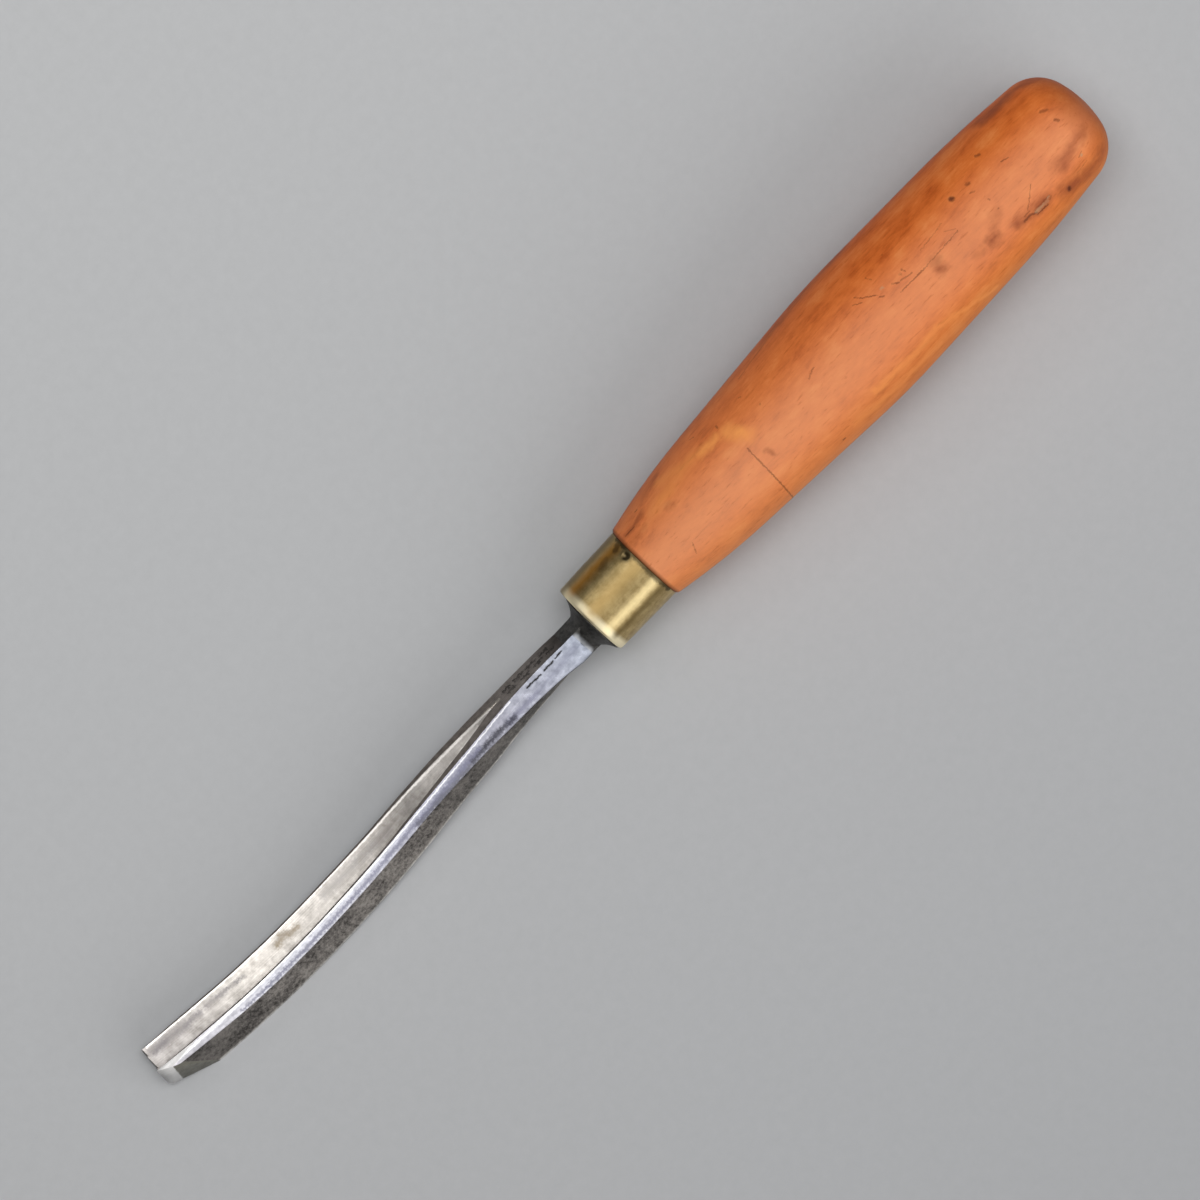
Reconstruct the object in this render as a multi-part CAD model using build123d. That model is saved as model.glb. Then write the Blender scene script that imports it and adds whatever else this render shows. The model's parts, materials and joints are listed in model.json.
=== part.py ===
from build123d import *
import math
import os

# A long-bent carving V tool lying on a bench, in millimetres, +Z up.
# It is first built along its own axis: the bolster seats against the ferrule at X = 0, the handle runs
# to +X and the cutting edge to -X, the channel opens upwards and the keel is below.
# It is then laid on its side as it comes to rest, with the origin on the bench under its middle.

# Blade, from the bolster seat to the cutting edge
blade_reach = 119.25
neck_length = 6.8
shank_width = 4.9
shank_depth = 6.2
v_width = 9.8
v_depth = 10.3
wing_shoulder = 2.7
wing_edge = 0.4
edge_rise = 3.72
channel_half_angle = 32.0
blade_set_over = 0.9

# Facets that sharpening left at the cutting edge, measured back from it
heel_length = 8.85
hone_at_shoulder = 2.75
hone_at_keel = 0.7
hone_down_shoulder = 1.5
hone_under_channel = 0.55
edge_facet_length = 10.4

# Bolster and tang
bolster_diameter = 13.4
bolster_length = 4.6
bolster_land = 0.35
bolster_waist_radius = 2.4
bolster_hollow = 0.73
tang_length = 56.0
tang_root = 5.4
tang_end = 2.6
tang_clearance = 0.1
tang_end_gap = 1.0

# Ferrule
ferrule_length = 15.1
ferrule_front_radius = 8.1
ferrule_back_radius = 8.3
ferrule_wall = 1.1
ferrule_edge_break = 0.35
ferrule_clearance = 0.02
punch_radius = 0.75
punch_depth = 0.35
punch_from_back = 1.3
punch_turn = 32.7

# Handle, with its radii
handle_length = 121.2
joint_radius = 8.7
joint_lip = 0.4
barrel_radius = 13.9
butt_radius = 11.83
butt_dome = 8.1
butt_end_radius = 22.0

# How the blade changes along its length. Each row has the share of the way from neck to edge, how high
# the open side lies above the axis as a share of its rise at the edge, and how far width, shoulder and
# keel have grown from shank to full V.
blade_stations = [
    (0.000, 0.559, 0.00, 0.00, 0.06),
    (0.030, 0.618, 0.02, 0.13, 0.27),
    (0.090, 0.667, 0.09, 0.31, 0.44),
    (0.162, 0.653, 0.23, 0.47, 0.57),
    (0.218, 0.594, 0.44, 0.70, 0.70),
    (0.303, 0.489, 0.63, 0.88, 0.78),
    (0.388, 0.331, 0.74, 0.96, 0.88),
    (0.473, 0.153, 0.82, 1.00, 0.93),
    (0.570, 0.059, 0.89, 1.00, 0.97),
    (0.672, 0.051, 0.94, 1.00, 1.00),
    (0.813, 0.288, 0.99, 1.04, 1.04),
    (0.900, 0.605, 1.00, 1.11, 1.08),
    (1.000, 1.000, 1.00, 1.20, 1.12),
    (1.020, 1.081, 1.00, 1.21, 1.13),
]

# The channel's floor: the share of the way from neck to edge, the open side's share of its rise there,
# and the share of the full depth. A negative share is above the metal, where the cutter comes in.
channel_stations = [
    (0.130, 0.661, -0.18),
    (0.162, 0.653, 0.00),
    (0.218, 0.594, 0.32),
    (0.303, 0.489, 0.57),
    (0.388, 0.331, 0.75),
    (0.473, 0.153, 0.84),
    (0.570, 0.059, 0.895),
    (0.672, 0.051, 0.93),
    (0.813, 0.288, 0.965),
    (0.900, 0.605, 0.98),
    (1.000, 1.000, 1.00),
    (1.020, 1.081, 1.00),
]

# The handle's outline from joint to butt is straight lines joined by curves. Each row has the share of the
# handle's length where two lines would meet, how far the radius has grown there from joint to barrel, and
# the share of the length that the curve takes from each line.
barrel_corners = [
    (0.10, 0.435, 0.0824),
    (0.48, 1.020, 0.0630),
    (0.81, 0.875, 0.0816),
]

v_length = blade_reach - neck_length
channel_depth = (v_width / 2 - wing_edge) / math.tan(math.radians(channel_half_angle))
rest_roll = math.degrees(math.atan2(v_width / 2, v_depth - wing_shoulder))
spigot_front_radius = ferrule_front_radius - ferrule_wall - ferrule_clearance
spigot_back_radius = ferrule_back_radius - ferrule_wall - ferrule_clearance


def grown(start, end, share):
    # A size part of the way from its value at one end to its value at the other
    return start + (end - start) * share


def blade_section(along, rise, width_share, shoulder_share, keel_share):
    # A house upside down: flat open side on top, two parallel shoulders, two faces sloping to the keel
    height = rise * edge_rise
    half_width = grown(shank_width, v_width, width_share) / 2
    shoulder = grown(shank_depth, wing_shoulder, shoulder_share)
    keel = grown(shank_depth, v_depth, keel_share)
    x = -neck_length - along * v_length
    corners = [
        (x, half_width, height),
        (x, half_width, height - shoulder),
        (x, 0, height - keel),
        (x, -half_width, height - shoulder),
        (x, -half_width, height),
    ]
    return Face(Wire.make_polygon(corners))


def channel_section(along, rise, floor_share):
    # A triangle with its point on the channel's floor and its base clear above the open side
    x = -neck_length - along * v_length
    height = rise * edge_rise
    headroom = 0.2 * v_width
    floor = height - floor_share * channel_depth
    top = height + headroom
    half_width = (top - floor) * math.tan(math.radians(channel_half_angle))
    return Face(Wire.make_polygon([(x, half_width, top), (x, 0, floor), (x, -half_width, top)]))


def v_body():
    outer = loft([blade_section(*station) for station in blade_stations])
    sections = [channel_section(*station) for station in channel_stations]
    past_the_end = 0.1 * v_width
    channel = loft(sections) + extrude(sections[-1], amount=past_the_end, dir=(-1, 0, 0))
    return outer - channel


def beyond(first, second, third, inside):
    # A block that lies against the plane through three points, on the side away from the inside point
    normal = (second - first).cross(third - first).normalized()
    if normal.dot(inside - first) > 0:
        normal = -normal
    size = 3 * v_depth
    plane = Plane(origin=(first + second + third) / 3, x_dir=(second - first).normalized(), z_dir=normal)
    return plane * Pos(0, 0, size / 2) * Box(size, size, size)


def edge_facets(side):
    # One wing at the cutting edge: its end square to the bent blade, the grinding bevel, the honed facet
    # at the edge and the thin facet along the top
    before = blade_stations[-3]
    tip_height = blade_stations[-2][1] * edge_rise
    slope = (tip_height - before[1] * edge_rise) / ((1 - before[0]) * v_length)
    half_width = v_width / 2

    def on_blade(back, across, down):
        # A point at a distance back from the wing tips, and down from the open side there
        return Vector(back - blade_reach, side * across, tip_height - slope * back - down)

    floor_ahead = channel_depth * slope
    wing_tip = on_blade(0, half_width - wing_edge, 0)
    other_tip = on_blade(0, wing_edge - half_width, 0)
    floor_tip = on_blade(-floor_ahead, 0, channel_depth)
    shoulder_end = on_blade(hone_at_shoulder, half_width, hone_down_shoulder)
    keel_end = on_blade(hone_at_keel - floor_ahead, 0, channel_depth + hone_under_channel)
    heel = on_blade(heel_length, 0, grown(shank_depth, v_depth, before[4]))
    facet_end = on_blade(edge_facet_length, half_width, 0)
    inside = Vector(-blade_reach / 2, 0, 0)
    end = beyond(wing_tip, other_tip, floor_tip, inside)
    bevel = beyond(shoulder_end, heel, keel_end, inside)
    hone = beyond(wing_tip, floor_tip, shoulder_end, inside)
    top_facet = beyond(wing_tip, shoulder_end, facet_end, inside)
    return end + bevel + hone + top_facet


def bolster():
    # A hollow flare grows out of the square shank to a round flange, set over towards the keel with them
    waist = (-bolster_length, bolster_waist_radius)
    rim = (-bolster_land, bolster_diameter / 2)
    flare = SagittaArc(waist, rim, -bolster_hollow)
    ends = Polyline(rim, (0, rim[1]), (0, 0), (-bolster_length, 0), waist)
    return Pos(0, 0, -blade_set_over) * revolve(Plane.XZ * make_face([flare, ends]), Axis.X)


def tang(extra=0.0, length=tang_length):
    # Square spike that tapers into the handle
    root = Plane(origin=(0, 0, -blade_set_over), x_dir=(0, 1, 0), z_dir=(1, 0, 0))
    end = Plane(origin=(length, 0, -blade_set_over), x_dir=(0, 1, 0), z_dir=(1, 0, 0))
    root_size = tang_root + 2 * extra
    end_size = tang_end + 2 * extra
    return loft([root * Rectangle(root_size, root_size), end * Rectangle(end_size, end_size)])


def make_blade():
    body = v_body() - edge_facets(1) - edge_facets(-1)
    neck = extrude(blade_section(*blade_stations[0]), amount=neck_length - bolster_land / 2, dir=(1, 0, 0))
    return body + neck + bolster() + tang()


def make_ferrule():
    # A ring turned from tube, a little wider at the handle, its front edge broken
    outline = Polyline(
        (0, ferrule_front_radius - ferrule_wall),
        (0, ferrule_front_radius),
        (ferrule_length, ferrule_back_radius),
        (ferrule_length, ferrule_back_radius - ferrule_wall),
        close=True,
    )
    ring = revolve(Plane.XZ * make_face(outline), Axis.X)
    front_edge = ring.edges().filter_by(GeomType.CIRCLE).sort_by(Axis.X)[:2].sort_by(SortBy.RADIUS)[-1]
    ring = chamfer(front_edge, ferrule_edge_break)
    ball_radius = (punch_radius**2 + punch_depth**2) / (2 * punch_depth)
    ball_height = ferrule_back_radius - punch_depth + ball_radius
    punch = Pos(ferrule_length - punch_from_back, 0, ball_height) * Sphere(ball_radius)
    return ring - Rot(punch_turn, 0, 0) * punch


def butt_curves(start, along):
    # The corner's curve leaves the side as a tangent, and meets the flatter end, whose centre is on the axis
    butt_end = ferrule_length + handle_length
    end_centre = Vector(butt_end - butt_end_radius, 0)
    outward = Vector(-along.Y, along.X)
    gap = start - end_centre
    corner_radius = (butt_end_radius**2 - gap.length**2) / (2 * (butt_end_radius - gap.dot(outward)))
    corner_centre = start - outward * corner_radius
    meeting = end_centre + (corner_centre - end_centre).normalized() * butt_end_radius
    corner = TangentArc(start, meeting, tangent=along)
    return [corner, TangentArc(corner @ 1, (butt_end, 0), tangent=corner % 1)]


def handle_outline():
    # Half of the handle's section: spigot, small bevel at the joint, barrel and domed butt
    butt_end = ferrule_length + handle_length
    barrel = [Vector(ferrule_length + joint_lip, joint_radius)]
    for along, growth, _ in barrel_corners:
        radius = grown(joint_radius, barrel_radius, growth)
        barrel.append(Vector(ferrule_length + along * handle_length, radius))
    barrel.append(Vector(butt_end - butt_dome, butt_radius))
    curves = []
    for i, (_, _, reach) in enumerate(barrel_corners):
        turn = (barrel[i + 1] - barrel[i]).get_angle(barrel[i + 2] - barrel[i + 1])
        curves.append(reach * handle_length / math.tan(math.radians(turn / 2)))
    side = FilletPolyline(*barrel, radius=curves)
    spigot = Polyline(
        (butt_end, 0),
        (0, 0),
        (0, spigot_front_radius),
        (ferrule_length, spigot_back_radius),
        (ferrule_length, joint_radius - joint_lip),
        barrel[0],
    )
    return [spigot, side] + butt_curves(side @ 1, side % 1)


def make_handle():
    body = revolve(Plane.XZ * make_face(handle_outline()), Axis.X)
    return body - tang(tang_clearance, tang_length + tang_end_gap)


def lowest(shape):
    return shape.bounding_box().min.Z


def rest_tilt(blade, handle):
    # Tip the tool, halving the range each time, until the blade's belly and the barrel are level
    low, high = 0.0, 10.0
    halvings = 16
    for _ in range(halvings):
        tilt = (low + high) / 2
        turn = Rot(0, -tilt, 0)
        if lowest(turn * blade) > lowest(turn * handle):
            low = tilt
        else:
            high = tilt
    return (low + high) / 2


pieces = {"blade": make_blade(), "ferrule": make_ferrule(), "handle": make_handle()}
on_its_side = Rot(rest_roll - 90, 0, 0)
pieces = {name: on_its_side * shape for name, shape in pieces.items()}
tilted = Rot(0, -rest_tilt(pieces["blade"], pieces["handle"]), 0)
pieces = {name: tilted * shape for name, shape in pieces.items()}
box = Compound(list(pieces.values())).bounding_box()
to_bench = Pos(-box.center().X, -box.center().Y, -box.min.Z)

os.makedirs("parts", exist_ok=True)
for name, shape in pieces.items():
    export_step(to_bench * shape, "parts/" + name + ".step")
    print(name, "volume", round(shape.volume, 1))
print("rolled", round(rest_roll, 2), "size", [round(side, 2) for side in box.size])
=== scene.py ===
import bpy
import bmesh
import json
import math
import numpy as np
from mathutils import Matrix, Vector


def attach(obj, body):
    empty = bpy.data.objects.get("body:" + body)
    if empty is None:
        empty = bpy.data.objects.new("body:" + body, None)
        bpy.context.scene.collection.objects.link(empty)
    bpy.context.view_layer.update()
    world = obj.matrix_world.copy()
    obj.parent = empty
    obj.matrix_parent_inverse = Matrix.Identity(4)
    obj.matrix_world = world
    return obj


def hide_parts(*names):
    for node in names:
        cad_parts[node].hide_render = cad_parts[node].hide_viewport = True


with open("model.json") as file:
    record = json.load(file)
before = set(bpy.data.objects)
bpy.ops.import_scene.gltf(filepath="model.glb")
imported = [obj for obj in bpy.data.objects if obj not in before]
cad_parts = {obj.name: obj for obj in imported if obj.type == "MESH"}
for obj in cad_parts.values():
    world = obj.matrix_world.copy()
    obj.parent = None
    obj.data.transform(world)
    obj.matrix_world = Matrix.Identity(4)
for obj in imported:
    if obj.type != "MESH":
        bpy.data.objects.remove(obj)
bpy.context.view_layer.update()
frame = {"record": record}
scene = bpy.context.scene
print("frame loaded")

# The tool has its own line, found again from the grip mount in the record. Lengths along it are in
# millimetres from the seat of the bolster on the ferrule, plus towards the butt and minus towards the edge
tool = {
    "seatToGrip": 76.912,
    "roll": -57.189,    # degrees, from open side up to lying on one wing
}
grip = frame["record"]["mounts"][0]
lineWay = np.array(grip["axis"], float)
lineWay /= np.linalg.norm(lineWay)
seatPlace = np.array(grip["pos_m"], float) - lineWay * tool["seatToGrip"] / 1000


def placed(points, roll):
    # Own frame in mm to the row frame in metres: roll about the tool's line, then tip the line up to the butt
    turn = math.radians(roll)
    x, y, z = np.moveaxis(np.asarray(points, float), -1, 0)
    side = y * math.cos(turn) - z * math.sin(turn)
    up = y * math.sin(turn) + z * math.cos(turn)
    tipped = np.stack([x * lineWay[0] - up * lineWay[2], side, x * lineWay[2] + up * lineWay[0]], -1)
    return seatPlace + tipped / 1000


def skin(name, rings, uv, sharpAngle, zones=None, ringWrap=False):
    # Quads join each ring of points to the next and run once round it. A fan to the middle closes each end
    # ring, or the last ring joins the first. The sign of the enclosed volume turns the faces outwards.
    # The surfaceMm map is the surface unrolled in mm.
    count, around = rings.shape[:2]
    here = np.arange(count if ringWrap else count - 1)[:, None]
    step = np.arange(around)[None, :]
    ahead, turnOn = (here + 1) % count, (step + 1) % around
    quads = np.stack(np.broadcast_arrays(
        here * around + step, ahead * around + step, ahead * around + turnOn, here * around + turnOn), -1)
    quadUv = np.stack([uv[:-1, :-1], uv[1:, :-1], uv[1:, 1:], uv[:-1, 1:]], 2)[:here.shape[0]]
    quads, quadUv = quads.reshape(-1, 4), quadUv.reshape(-1, 4, 2)
    points = rings.reshape(-1, 3)
    halves = points[np.concatenate([quads[:, [0, 1, 2]], quads[:, [0, 2, 3]]])]
    volume = np.einsum("ij,ij->i", halves[:, 0], np.cross(halves[:, 1], halves[:, 2])).sum()
    fans, fanUv = np.zeros((0, 3), int), np.zeros((0, 3, 2))
    if not ringWrap:
        points = np.concatenate([points, rings[:1].mean(1), rings[-1:].mean(1)])
        last, middle = (count - 1) * around, count * around
        corner, nextCorner = step[0], turnOn[0]
        fans = np.concatenate([
            np.stack([corner, nextCorner, np.full(around, middle)], -1),
            np.stack([last + nextCorner, last + corner, np.full(around, middle + 1)], -1)])
        ends = [(uv[0, :-1], uv[0, 1:]), (uv[-1, 1:], uv[-1, :-1])]
        fanUv = np.concatenate([np.stack([a, b, (a + b) / 2], 1) for a, b in ends])
    if volume < 0:
        quads, quadUv, fans, fanUv = quads[:, ::-1], quadUv[:, ::-1], fans[:, ::-1], fanUv[:, ::-1]
    mesh = bpy.data.meshes.new(name)
    mesh.from_pydata(points.tolist(), [], quads.tolist() + fans.tolist())
    layer = mesh.uv_layers.new(name="surfaceMm")
    layer.data.foreach_set("uv", np.concatenate([quadUv.reshape(-1), fanUv.reshape(-1)]).astype(np.float32))
    if zones is not None:
        faceZones = np.concatenate([zones.reshape(-1), zones[0], zones[-1]])
        mesh.polygons.foreach_set("material_index", faceZones.astype(np.int32))
    mesh.polygons.foreach_set("use_smooth", np.ones(len(mesh.polygons), bool))
    mesh.set_sharp_from_angle(angle=math.radians(sharpAngle))
    return mesh


def finishPiece(mesh, materials, node):
    # One object at the origin that stands for its CAD node
    piece = bpy.data.objects.new(mesh.name, mesh)
    scene.collection.objects.link(piece)
    for material in materials:
        mesh.materials.append(material)
    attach(piece, "root")
    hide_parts(node)
    return piece


def moveInto(mesh, roll):
    # A mesh made in the tool's own millimetres goes to its place on the bench
    flat = np.zeros(len(mesh.vertices) * 3, np.float32)
    mesh.vertices.foreach_get("co", flat)
    mesh.vertices.foreach_set("co", placed(flat.reshape(-1, 3), roll).astype(np.float32).reshape(-1))
    mesh.update()


def throughStations(at, knots, values):
    # A smooth curve through the stations: cubic pieces, with each station's slope taken from its neighbours
    knots, values = np.asarray(knots, float), np.asarray(values, float)
    slopes = np.gradient(values, knots)
    i = np.clip(np.searchsorted(knots, at) - 1, 0, len(knots) - 2)
    width = knots[i + 1] - knots[i]
    t = np.clip((at - knots[i]) / width, 0, 1)
    return ((2 * t**3 - 3 * t**2 + 1) * values[i] + (t**3 - 2 * t**2 + t) * width * slopes[i]
            + (3 * t**2 - 2 * t**3) * values[i + 1] + (t**3 - t**2) * width * slopes[i + 1])


def linear(code):
    # An sRGB hex colour as the linear one that Blender's sockets take
    part = np.array([int(code[i:i + 2], 16) for i in (1, 3, 5)]) / 255
    part = np.where(part <= 0.04045, part / 12.92, ((part + 0.055) / 1.055) ** 2.4)
    return (*part.tolist(), 1.0)


def addNode(tree, kind, links=None, stops=None, **settings):
    # Adds a node with its own settings and a ramp's stops. A socket takes a value, a hex colour, a link from
    # another socket, or a link from another node's first output.
    made = tree.nodes.new("ShaderNode" + kind)
    for key, value in settings.items():
        setattr(made, key, value)
    for key, value in (links or {}).items():
        if isinstance(value, bpy.types.Node):
            value = value.outputs[0]
        if isinstance(value, bpy.types.NodeSocket):
            tree.links.new(value, made.inputs[key])
        else:
            made.inputs[key].default_value = linear(value) if isinstance(value, str) else value
    if stops:
        ramp = made.color_ramp.elements
        while len(ramp) < len(stops):
            ramp.new(0.5)
        for element, (place, code) in zip(ramp, sorted(stops)):
            element.position, element.color = place, linear(code)
    return made


def newFinish(name):
    # A material with an empty tree
    material = bpy.data.materials.new(name)
    material.use_nodes = True
    material.node_tree.nodes.clear()
    return material, material.node_tree


def shaded(tree, sockets):
    # The shader that shows what the tree works out
    shader = addNode(tree, "BsdfPrincipled", sockets)
    addNode(tree, "OutputMaterial", {"Surface": shader})


# Forged carbon steel blade. Sizes in mm from the seat, along it towards the edge
blade = {
    "reach": 119.24, "neck": 6.8,    # to the edge, and to where the V begins to grow
    "shank": (4.9, 6.2), "vSize": (9.8, 10.3),    # width and depth
    "shoulder": 2.7,    # height of the wings' sides
    "wingEdge": 0.4, "rise": 3.72,    # flat edge of a wing, and how far the tips bend up
    "channelAngle": 32.0,    # degrees, half of the V
    "setOver": 0.9,    # the round bolster and the tang lie this far towards the keel
    "bolster": {"length": 4.6, "land": 0.35, "waist": 2.4, "rim": 6.7, "hollow": 0.73},
    "tang": {"length": 56.0, "root": 5.4, "end": 2.6},
    # where sharpening cut the sides and the keel: back from the wing tips, and down from the open side
    "heel": 8.85, "honeShoulder": 2.75, "honeKeel": 0.7, "honeDown": 1.5, "honeUnder": 0.55, "facetEnd": 10.4,
    "arris": 0.13, "unevenness": 0.03,    # broken corners, and waves of the forged outside
    "runOut": 25.6,    # where the channel ends
    "rings": 330, "edgeSteps": 13, "bendSteps": 4,    # rings of the V, and points on its edges and corners
    "flareSteps": 40, "smoothing": 19,    # rings of the flare, and rings that even out the channel's floor
    "blend": 14,    # the higher, the sharper the neck meets the bolster
    # share of the way to the edge; rise of the open side; growth of width, shoulder and keel
    "stations": [
        (0.000, 0.559, 0.00, 0.00, 0.06), (0.030, 0.618, 0.02, 0.13, 0.27), (0.090, 0.667, 0.09, 0.31, 0.44),
        (0.162, 0.653, 0.23, 0.47, 0.57), (0.218, 0.594, 0.44, 0.70, 0.70), (0.303, 0.489, 0.63, 0.88, 0.78),
        (0.388, 0.331, 0.74, 0.96, 0.88), (0.473, 0.153, 0.82, 1.00, 0.93), (0.570, 0.059, 0.89, 1.00, 0.97),
        (0.672, 0.051, 0.94, 1.00, 1.00), (0.813, 0.288, 0.99, 1.04, 1.04), (0.900, 0.605, 1.00, 1.11, 1.08),
        (1.000, 1.000, 1.00, 1.20, 1.12), (1.020, 1.081, 1.00, 1.21, 1.13)],
    # share of the way to the edge; share of the channel's full depth
    "channel": [
        (0.000, 0.00), (0.162, 0.00), (0.218, 0.32), (0.303, 0.57), (0.388, 0.75), (0.473, 0.84),
        (0.570, 0.895), (0.672, 0.93), (0.813, 0.965), (0.900, 0.98), (1.000, 1.00), (1.020, 1.00)],
}
# Parts of the surface, in the order of their finishes
zone = {name: number for number, name in enumerate(
    ("channel", "side", "slope", "top", "bevel", "honed", "bolster"))}


def roundedRing(corners, cut, edgeSteps, bendSteps):
    # Each corner of the outline is a small curve that takes "cut" from both its edges; the edges between have
    # evenly spaced points. Corners are (rings, corner, 2), and the answer is (rings, points, 2).
    before, after = np.roll(corners, 1, 1), np.roll(corners, -1, 1)
    toBefore, toAfter = before - corners, after - corners
    lengthBefore = np.linalg.norm(toBefore, axis=-1, keepdims=True)
    lengthAfter = np.linalg.norm(toAfter, axis=-1, keepdims=True)
    take = np.minimum(cut, 0.4 * np.minimum(lengthBefore, lengthAfter))
    start, end = corners + toBefore / lengthBefore * take, corners + toAfter / lengthAfter * take
    t = np.linspace(0, 1, bendSteps)[None, None, :, None]
    bend = (1 - t)**2 * start[:, :, None] + 2 * t * (1 - t) * corners[:, :, None] + t**2 * end[:, :, None]
    t = np.linspace(0, 1, edgeSteps + 2)[1:-1][None, None, :, None]
    run = end[:, :, None] * (1 - t) + np.roll(start, -1, 1)[:, :, None] * t
    return np.concatenate([bend, run], 2).reshape(len(corners), -1, 2)


def bladeRings():
    # The V: at each share of the way, eight corners (channel floor, rim, wing edge, shoulder, keel and back).
    # The neck keeps the first outline. Flare, rim, seat and tang are carried round the bolster's own centre:
    # the radius at an angle is a soft maximum of the neck's and the flare's, then the tang's square.
    # Last, two sine waves along the blade take a few hundredths of a millimetre off the forged outside.
    b = blade
    share = np.linspace(0, b["stations"][-1][0], b["rings"])
    table = np.array(b["stations"]).T
    rise, width, shoulder, keel = [throughStations(share, table[0], row) for row in table[1:]]
    lean = math.tan(math.radians(b["channelAngle"]))
    fullDepth = (b["vSize"][0] / 2 - b["wingEdge"]) / lean
    depth = np.interp(share, *np.array(b["channel"]).T)
    even = np.ones(b["smoothing"]) / b["smoothing"]
    depth = np.convolve(np.pad(depth, b["smoothing"] // 2, "edge"), even, "valid") * fullDepth
    half = (b["shank"][0] + (b["vSize"][0] - b["shank"][0]) * width) / 2
    side = b["shank"][1] + (b["shoulder"] - b["shank"][1]) * shoulder
    down = b["shank"][1] + (b["vSize"][1] - b["shank"][1]) * keel
    top = rise * b["rise"]
    rim = np.maximum(depth * lean, 0.15)    # the channel keeps a hair's width where it has run out
    zero = np.zeros_like(top)
    corners = np.stack([
        np.stack([zero, top - depth], -1), np.stack([rim, top], -1), np.stack([half, top], -1),
        np.stack([half, top - side], -1), np.stack([zero, top - down], -1), np.stack([-half, top - side], -1),
        np.stack([-half, top], -1), np.stack([-rim, top], -1)], 1)
    cut = b["arris"] * np.array([1.2, 0.5, 0.7, 1.6, 1.2, 1.6, 0.7, 0.5])[None, :, None]
    section = roundedRing(corners, cut, b["edgeSteps"], b["bendSteps"])
    x = -b["neck"] - share * (b["reach"] - b["neck"])
    vPart = np.concatenate([np.broadcast_to(x[:, None, None], section.shape[:2] + (1,)), section], -1)

    centre = np.array([0, -b["setOver"]])
    fromCentre = section[0] - centre
    neckRadius = np.linalg.norm(fromCentre, axis=-1)
    way = fromCentre / neckRadius[:, None]
    flare = b["bolster"]
    t = np.linspace(0, 1, b["flareSteps"])[:, None]
    first = np.array([-flare["length"], flare["waist"]])
    last = np.array([-flare["land"], flare["rim"]])
    chord = (last - first) / np.linalg.norm(last - first)
    bulge = (first + last) / 2 + 2 * flare["hollow"] * np.array([chord[1], -chord[0]])
    curve = (1 - t)**2 * first + 2 * t * (1 - t) * bulge + t**2 * last
    rimRound = np.array([[-0.2, flare["rim"]], [-0.06, flare["rim"] - 0.03], [0.0, flare["rim"] - 0.12]])
    neckX = np.linspace(-b["neck"], -flare["length"], 9)[1:-1]
    turnedX = np.concatenate([neckX, curve[:, 0], rimRound[:, 0]])
    turnedRadius = np.concatenate([np.full(len(neckX), flare["waist"] * 0.6), curve[:, 1], rimRound[:, 1]])
    radius = (neckRadius[None, :]**b["blend"] + turnedRadius[:, None]**b["blend"]) ** (1 / b["blend"])
    radius = np.minimum(radius, np.maximum(neckRadius[None, :], turnedRadius[:, None]) * 1.02)
    radius[-3:] = turnedRadius[-3:, None]
    squareWay = 1 / np.abs(way).max(-1)
    tangX = np.array([0.0, 0.02, 1.0, 14.0, 28.0, 42.0, b["tang"]["length"]])
    tangHalf = np.interp(tangX, [0, b["tang"]["length"]], [b["tang"]["root"] / 2, b["tang"]["end"] / 2])
    backX = np.concatenate([turnedX, tangX])
    backRadius = np.concatenate([radius, tangHalf[:, None] * squareWay[None, :]])
    lie = centre + way[None] * backRadius[..., None]
    back = np.concatenate([np.broadcast_to(backX[:, None, None], lie.shape[:2] + (1,)), lie], -1)
    rings = np.concatenate([vPart[::-1], back])
    swell = (np.sin(rings[..., 0] * 0.37 + 1.7 * np.sin(rings[..., 0] * 0.13)) * 0.7
             + np.sin(rings[..., 0] * 0.71 + rings[..., 2] * 0.5) * 0.3)
    forged = np.clip((-rings[..., :1] - 8) / 20, 0, 1)
    outward = np.concatenate([np.zeros_like(rings[..., :1]), rings[..., 1:] - [0, -1]], -1)
    outward /= np.maximum(np.linalg.norm(outward, axis=-1, keepdims=True), 0.1)
    return rings - outward * (swell[..., None] * 0.5 + 0.5) * b["unevenness"] * forged


def trimFacet(mesh, corners, inside, facetZone):
    # Cuts along the plane through three points, drops what lies beyond it, and closes the cut with a face
    a, b, c = [Vector(p) for p in corners]
    normal = (b - a).cross(c - a).normalized()
    if normal.dot(Vector(inside) - a) > 0:
        normal = -normal
    work = bmesh.new()
    work.from_mesh(mesh)
    everything = work.verts[:] + work.edges[:] + work.faces[:]
    cut = bmesh.ops.bisect_plane(work, geom=everything, plane_co=a, plane_no=normal, clear_outer=True,
                                 dist=1e-4)
    rimEdges = [e for e in cut["geom_cut"] if isinstance(e, bmesh.types.BMEdge) and e.is_boundary]
    flat = bmesh.ops.edgenet_fill(work, edges=rimEdges, use_smooth=False)["faces"]
    for face in flat:
        face.material_index = facetZone
        face.normal_update()
        if face.normal.dot(normal) < 0:
            face.normal_flip()
    work.to_mesh(mesh)
    work.free()


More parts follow.
